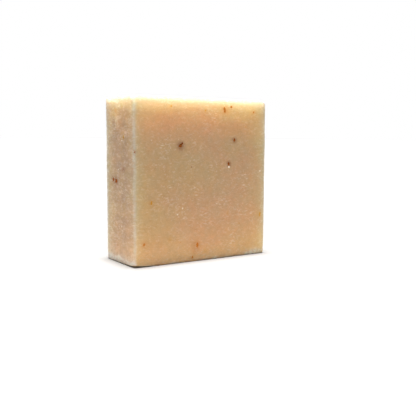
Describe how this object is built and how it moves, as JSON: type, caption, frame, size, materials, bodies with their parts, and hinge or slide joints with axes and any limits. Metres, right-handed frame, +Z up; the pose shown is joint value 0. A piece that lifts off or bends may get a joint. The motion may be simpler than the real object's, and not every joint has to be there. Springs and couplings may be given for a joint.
{
  "type": "bar of soap",
  "caption": "Square slice of handmade soap with planed edges, a softly rounded top rim and a bevelled foot with a pale crust, standing on edge.",
  "frame": {"origin": "middle of the foot, the flat face that the bar stands on", "axes": "+Z up, from the foot to the top rim; +X across the bar, from one narrow side to the other; +Y through the slice's thickness, from the front cut face to the back one"},
  "size_m": [0.068, 0.027, 0.07],
  "materials": {
    "soap": "waxy honey-tan soap, satin, slightly translucent, fine-grained, with pale dry edges, a few white specks and small brown and orange plant flecks"
  },
  "bodies": {
    "root": {"soap_bar": "soap"}
  },
  "joints": []
}
